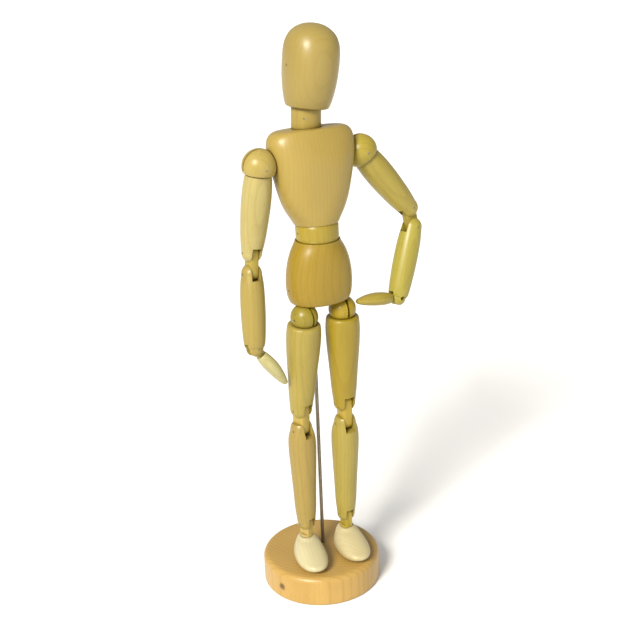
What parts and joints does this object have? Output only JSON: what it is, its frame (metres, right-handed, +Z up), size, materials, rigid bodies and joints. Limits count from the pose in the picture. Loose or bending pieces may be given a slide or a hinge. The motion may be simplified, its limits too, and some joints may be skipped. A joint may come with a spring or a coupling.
{
  "type": "artist mannequin",
  "caption": "Jointed wooden artist mannequin on a round base and steel rod, posed standing with one hand on its hip.",
  "frame": {"origin": "centre of the base underside, on the table", "axes": "+Z up, -Y the way the figure faces, +X to the figure's left"},
  "size_m": [0.1062, 0.065, 0.3046],
  "materials": {
    "lacquered_wood": "satin lacquer",
    "pale_wood": "satin lacquer",
    "base_wood": "satin lacquer",
    "steel": "plain drawn wire"
  },
  "bodies": {
    "base": {"base": "base_wood"},
    "rod": {"support_rod": "steel"},
    "pelvis": {"pelvis": "lacquered_wood", "pelvis_pin": "steel", "waist_spring": "steel"},
    "waist_hook": {"waist_hook": "steel"},
    "waist": {"waist": "lacquered_wood", "waist_pin": "steel"},
    "waist_eye": {"waist_eye": "steel"},
    "chest": {"chest": "lacquered_wood", "shoulder_spring": "steel"},
    "neck_eye": {"neck_eye": "steel"},
    "neck": {"neck": "lacquered_wood", "neck_pin": "steel"},
    "neck_hook": {"neck_hook": "steel"},
    "head": {"head": "lacquered_wood", "head_spring": "steel", "head_pin": "steel"},
    "right_shoulder_hook": {"right_shoulder_hook": "steel"},
    "right_shoulder_ball": {"right_shoulder_ball": "lacquered_wood", "right_shoulder_pin": "steel"},
    "right_upper_arm": {"right_upper_arm": "lacquered_wood", "right_upper_arm_pin": "steel"},
    "right_elbow_link": {"right_elbow_link": "lacquered_wood"},
    "right_forearm": {"right_forearm": "lacquered_wood", "right_forearm_pins": "steel"},
    "right_wrist_knuckle": {"right_wrist_knuckle": "lacquered_wood"},
    "right_hand": {"right_hand": "lacquered_wood"},
    "right_hip_hook": {"right_hip_hook": "steel"},
    "right_hip_ball": {"right_hip_ball": "lacquered_wood", "right_hip_pin": "steel"},
    "right_thigh": {"right_thigh": "lacquered_wood", "right_thigh_pin": "steel"},
    "right_knee_link": {"right_knee_link": "lacquered_wood"},
    "right_shin": {"right_shin": "lacquered_wood", "right_shin_pins": "steel"},
    "right_ankle_knuckle": {"right_ankle_knuckle": "lacquered_wood"},
    "right_foot": {"right_foot": "pale_wood"},
    "left_shoulder_hook": {"left_shoulder_hook": "steel"},
    "left_shoulder_ball": {"left_shoulder_ball": "lacquered_wood", "left_shoulder_pin": "steel"},
    "left_upper_arm": {"left_upper_arm": "lacquered_wood", "left_upper_arm_pin": "steel"},
    "left_elbow_link": {"left_elbow_link": "lacquered_wood"},
    "left_forearm": {"left_forearm": "lacquered_wood", "left_forearm_pins": "steel"},
    "left_wrist_knuckle": {"left_wrist_knuckle": "lacquered_wood"},
    "left_hand": {"left_hand": "lacquered_wood"},
    "left_hip_hook": {"left_hip_hook": "steel"},
    "left_hip_ball": {"left_hip_ball": "lacquered_wood", "left_hip_pin": "steel"},
    "left_thigh": {"left_thigh": "lacquered_wood", "left_thigh_pin": "steel"},
    "left_knee_link": {"left_knee_link": "lacquered_wood"},
    "left_shin": {"left_shin": "lacquered_wood", "left_shin_pins": "steel"},
    "left_ankle_knuckle": {"left_ankle_knuckle": "lacquered_wood"},
    "left_foot": {"left_foot": "pale_wood"}
  },
  "joints": [
    {"name": "rod_turn", "type": "hinge", "parent": "base", "child": "rod", "pos_m": [0.0036, 0.0046, 0], "axis": [0, 0, 1], "range_deg": [-170, 170]},
    {"name": "figure_lift", "type": "slide", "parent": "rod", "child": "pelvis", "axis": [0, 0, 1], "range_m": [0, 0.012]},
    {"name": "waist_turn", "type": "hinge", "parent": "pelvis", "child": "waist_hook", "pos_m": [0.0026, -0.0054, 0.2036], "axis": [0, 0, 1], "range_deg": [-40, 40]},
    {"name": "waist_bend", "type": "hinge", "parent": "waist_hook", "child": "waist", "pos_m": [0.0026, -0.0054, 0.2036], "axis": [1, 0, 0], "range_deg": [-14, 10]},
    {"name": "chest_bend", "type": "hinge", "parent": "waist", "child": "waist_eye", "pos_m": [0.0026, -0.0054, 0.2036], "axis": [1, 0, 0], "range_deg": [-14, 8]},
    {"name": "chest_turn", "type": "hinge", "parent": "waist_eye", "child": "chest", "pos_m": [0.0026, -0.0054, 0.2036], "axis": [0, 0.0872, 0.9962], "range_deg": [-60, 60]},
    {"name": "neck_turn", "type": "hinge", "parent": "chest", "child": "neck_eye", "pos_m": [0.0026, 0.00152, 0.25971], "axis": [0, 0.0872, 0.9962], "range_deg": [-110, 60]},
    {"name": "neck_nod", "type": "hinge", "parent": "neck_eye", "child": "neck", "pos_m": [0.0026, 0.00152, 0.25971], "axis": [-0.5736, -0.816, 0.0714], "range_deg": [-12, 15]},
    {"name": "head_nod", "type": "hinge", "parent": "neck", "child": "neck_hook", "pos_m": [0.0026, 0.00152, 0.25971], "axis": [-0.5736, -0.816, 0.0714], "range_deg": [-12, 15]},
    {"name": "head_turn", "type": "hinge", "parent": "neck_hook", "child": "head", "pos_m": [0.0026, 0.00152, 0.25971], "axis": [0.1422, -0.0134, 0.9897], "range_deg": [-80, 110]},
    {"name": "right_shoulder_swing", "type": "hinge", "parent": "chest", "child": "right_shoulder_hook", "pos_m": [-0.0257, -0.00173, 0.23982], "axis": [-1, 0, 0], "range_deg": [-40, 110]},
    {"name": "right_shoulder_raise", "type": "hinge", "parent": "right_shoulder_hook", "child": "right_shoulder_ball", "pos_m": [-0.0257, -0.00173, 0.23982], "axis": [0, 0.9962, 0.0872], "range_deg": [-1, 85]},
    {"name": "right_arm_twist", "type": "hinge", "parent": "right_shoulder_ball", "child": "right_upper_arm", "pos_m": [-0.0257, -0.00173, 0.23982], "axis": [-0.1132, 0.0866, -0.9898], "range_deg": [-7, 80]},
    {"name": "right_elbow_upper", "type": "hinge", "parent": "right_upper_arm", "child": "right_elbow_link", "pos_m": [-0.0307, 0.0021, 0.19607], "axis": [-0.9912, -0.0793, 0.1064], "range_deg": [-55, 55]},
    {"name": "right_elbow_lower", "type": "hinge", "parent": "right_elbow_link", "child": "right_forearm", "pos_m": [-0.0318, 0.00144, 0.18535], "axis": [-0.9912, -0.0793, 0.1064], "range_deg": [-55, 55]},
    {"name": "right_wrist_bend", "type": "hinge", "parent": "right_forearm", "child": "right_wrist_knuckle", "pos_m": [-0.03533, -0.00487, 0.14778], "axis": [-0.0954, 0.9831, -0.156], "range_deg": [-3, 115]},
    {"name": "right_hand_twist", "type": "hinge", "parent": "right_wrist_knuckle", "child": "right_hand", "pos_m": [-0.03231, -0.00524, 0.14357], "axis": [-0.5806, 0.0723, 0.8109], "range_deg": [-80, 80]},
    {"name": "right_hip_turn", "type": "hinge", "parent": "pelvis", "child": "right_hip_hook", "pos_m": [-0.0085, -0.0088, 0.1604], "axis": [0, 0, -1], "range_deg": [-30, 30]},
    {"name": "right_hip_swing", "type": "hinge", "parent": "right_hip_hook", "child": "right_hip_ball", "pos_m": [-0.0085, -0.0088, 0.1604], "axis": [-0.9537, -0.3007, 0], "range_deg": [-30, 60]},
    {"name": "right_thigh_twist", "type": "hinge", "parent": "right_hip_ball", "child": "right_thigh", "pos_m": [-0.0085, -0.0088, 0.1604], "axis": [-0.0314, 0.0997, -0.9945], "range_deg": [-15, 60]},
    {"name": "right_knee_upper", "type": "hinge", "parent": "right_thigh", "child": "right_knee_link", "pos_m": [-0.01017, -0.0035, 0.10754], "axis": [-0.9537, -0.3007, 0], "range_deg": [-1, 50]},
    {"name": "right_knee_lower", "type": "hinge", "parent": "right_knee_link", "child": "right_shin", "pos_m": [-0.01033, -0.003, 0.09555], "axis": [-0.9537, -0.3007, 0], "range_deg": [-1, 50]},
    {"name": "right_ankle_bend", "type": "hinge", "parent": "right_shin", "child": "right_ankle_knuckle", "pos_m": [-0.01018, -0.00348, 0.03855], "axis": [-0.9537, -0.3007, 0], "range_deg": [-1, 45]},
    {"name": "right_foot_turn", "type": "hinge", "parent": "right_ankle_knuckle", "child": "right_foot", "pos_m": [-0.01024, -0.00327, 0.03016], "axis": [-0.0079, 0.025, -0.9997], "range_deg": [-30, 60]},
    {"name": "left_shoulder_swing", "type": "hinge", "parent": "chest", "child": "left_shoulder_hook", "pos_m": [0.0309, -0.00173, 0.23982], "axis": [-1, 0, 0], "range_deg": [0, 110]},
    {"name": "left_shoulder_raise", "type": "hinge", "parent": "left_shoulder_hook", "child": "left_shoulder_ball", "pos_m": [0.0309, -0.00173, 0.23982], "axis": [0, -1, 0], "range_deg": [0, 50]},
    {"name": "left_arm_twist", "type": "hinge", "parent": "left_shoulder_ball", "child": "left_upper_arm", "pos_m": [0.0309, -0.00173, 0.23982], "axis": [-0.6361, 0, 0.7716], "range_deg": [0, 80]},
    {"name": "left_elbow_upper", "type": "hinge", "parent": "left_upper_arm", "child": "left_elbow_link", "pos_m": [0.05901, -0.00173, 0.20571], "axis": [0.1406, -0.9833, 0.1159], "range_deg": [0, 60]},
    {"name": "left_elbow_lower", "type": "hinge", "parent": "left_elbow_link", "child": "left_forearm", "pos_m": [0.06068, -0.00274, 0.19509], "axis": [0.1406, -0.9833, 0.1159], "range_deg": [0, 60]},
    {"name": "left_wrist_bend", "type": "hinge", "parent": "left_forearm", "child": "left_wrist_knuckle", "pos_m": [0.04741, -0.00881, 0.15974], "axis": [-0.1406, 0.9833, -0.1159], "range_deg": [0, 6]},
    {"name": "left_hand_twist", "type": "hinge", "parent": "left_wrist_knuckle", "child": "left_hand", "pos_m": [0.04231, -0.00944, 0.16059], "axis": [0.9791, 0.1208, -0.1635], "range_deg": [-80, 80]},
    {"name": "left_hip_turn", "type": "hinge", "parent": "pelvis", "child": "left_hip_hook", "pos_m": [0.0137, -0.0088, 0.1604], "axis": [0, 0, 1], "range_deg": [-20, 40]},
    {"name": "left_hip_swing", "type": "hinge", "parent": "left_hip_hook", "child": "left_hip_ball", "pos_m": [0.0137, -0.0088, 0.1604], "axis": [-0.9997, -0.0262, 0], "range_deg": [-1, 60]},
    {"name": "left_thigh_twist", "type": "hinge", "parent": "left_hip_ball", "child": "left_thigh", "pos_m": [0.0137, -0.0088, 0.1604], "axis": [0.0005, -0.0174, 0.9998], "range_deg": [-15, 60]},
    {"name": "left_knee_upper", "type": "hinge", "parent": "left_thigh", "child": "left_knee_link", "pos_m": [0.01368, -0.00787, 0.10726], "axis": [-0.9997, -0.0262, 0], "range_deg": [-1, 50]},
    {"name": "left_knee_lower", "type": "hinge", "parent": "left_knee_link", "child": "left_shin", "pos_m": [0.01367, -0.00766, 0.09526], "axis": [-0.9997, -0.0262, 0], "range_deg": [-1, 50]},
    {"name": "left_ankle_bend", "type": "hinge", "parent": "left_shin", "child": "left_ankle_knuckle", "pos_m": [0.01362, -0.00567, 0.03829], "axis": [-0.9997, -0.0262, 0], "range_deg": [-1, 12]},
    {"name": "left_foot_turn", "type": "hinge", "parent": "left_ankle_knuckle", "child": "left_foot", "pos_m": [0.01361, -0.00553, 0.0299], "axis": [0.0005, -0.0174, 0.9998], "range_deg": [-20, 60]}
  ]
}
